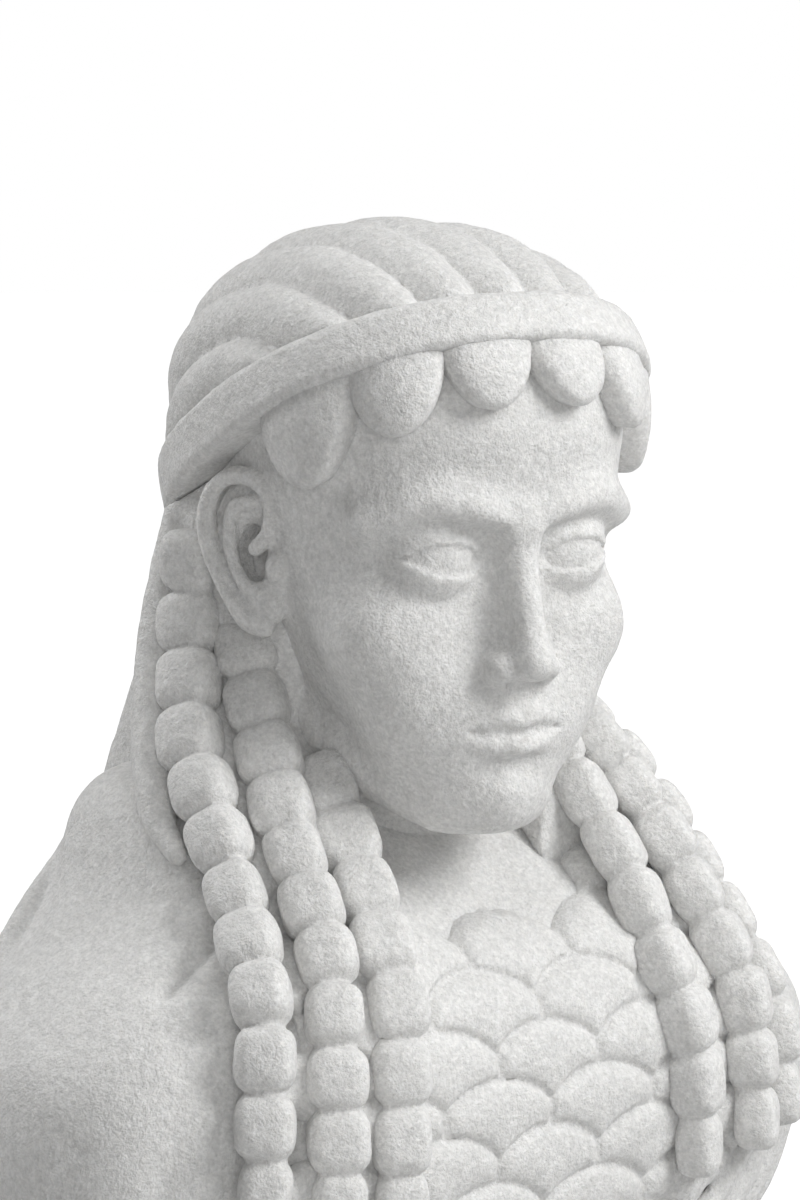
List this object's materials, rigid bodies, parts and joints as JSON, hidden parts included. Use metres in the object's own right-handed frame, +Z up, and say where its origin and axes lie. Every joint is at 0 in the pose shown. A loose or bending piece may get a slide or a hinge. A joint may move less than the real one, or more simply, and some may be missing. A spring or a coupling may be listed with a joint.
{
  "type": "marble bust",
  "caption": "Tabletop marble bust of a woman with a fluted hair cap, headband, beaded braids and a scaled collar, on a turned socle and plinth.",
  "frame": {"origin": "middle of the underside, on the resting face", "axes": "+Z up through the head; the bust faces -Y and its right side is -X"},
  "size_m": [0.2672, 0.1556, 0.4005],
  "materials": {
    "marble": "coarse crystalline white marble, honed and softly worn",
    "base_marble": "white marble, finer honed than the figure",
    "steel": "plain turned steel",
    "felt": "dark green-grey wool felt"
  },
  "bodies": {
    "root": {"felt_pad": "felt", "plinth": "base_marble", "socle": "base_marble", "washer": "steel", "hex_nut": "steel", "threaded_rod": "steel", "key_pin_upper": "steel", "key_pin_lower": "steel", "torso": "marble", "head_dowel": "steel", "scale_collar": "marble", "head_block": "marble", "crown_dowel": "steel", "hair_cap": "marble", "headband": "marble", "forehead_curl_1": "marble", "forehead_curl_2": "marble", "forehead_curl_3": "marble", "forehead_curl_4": "marble", "forehead_curl_5": "marble", "forehead_curl_6": "marble", "back_hair": "marble", "braid_right_outer": "marble", "braid_pin_right_outer": "steel", "braid_right_middle": "marble", "braid_pin_right_middle": "steel", "braid_right_inner": "marble", "braid_pin_right_inner": "steel", "braid_left_outer": "marble", "braid_pin_left_outer": "steel", "braid_left_middle": "marble", "braid_pin_left_middle": "steel", "braid_left_inner": "marble", "braid_pin_left_inner": "steel"}
  },
  "joints": []
}
